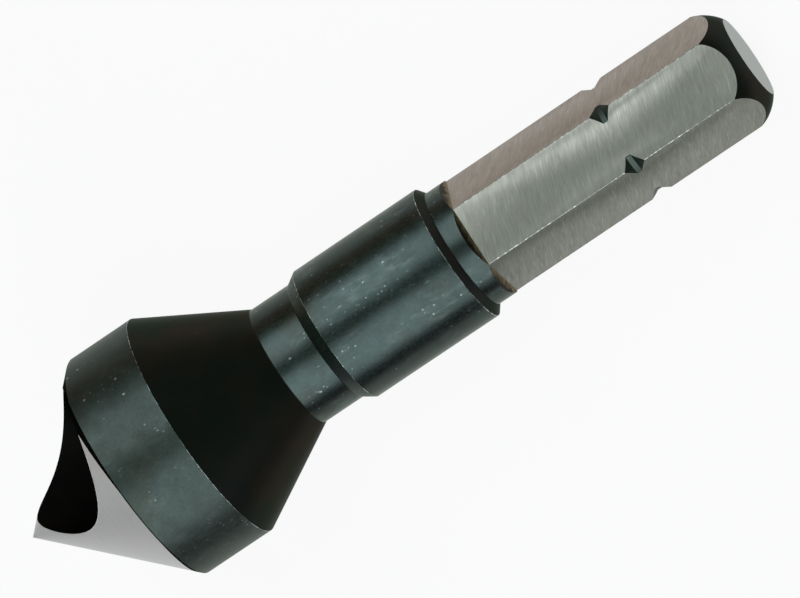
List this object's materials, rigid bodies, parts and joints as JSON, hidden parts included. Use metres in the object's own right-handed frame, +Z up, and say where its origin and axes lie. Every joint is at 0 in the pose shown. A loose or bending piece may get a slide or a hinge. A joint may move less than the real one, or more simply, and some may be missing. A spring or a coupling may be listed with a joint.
{
  "type": "countersink bit",
  "caption": "Single-edge 90 degree countersink and deburring bit with an oblique cross hole, back-tapered head and notched hexagonal shank.",
  "frame": {"origin": "centre of the bounding box's base, on the surface that the bit lies on", "axes": "+X along the lying bit from the point towards the drive end, +Z up; the tool's axis falls 6.16 degrees towards +X"},
  "size_m": [0.0488, 0.0142, 0.0146],
  "materials": {
    "tool_steel": "black oxide, ground bright on the cone and the flats"
  },
  "bodies": {
    "root": {"countersink_bit": "tool_steel"}
  },
  "joints": []
}
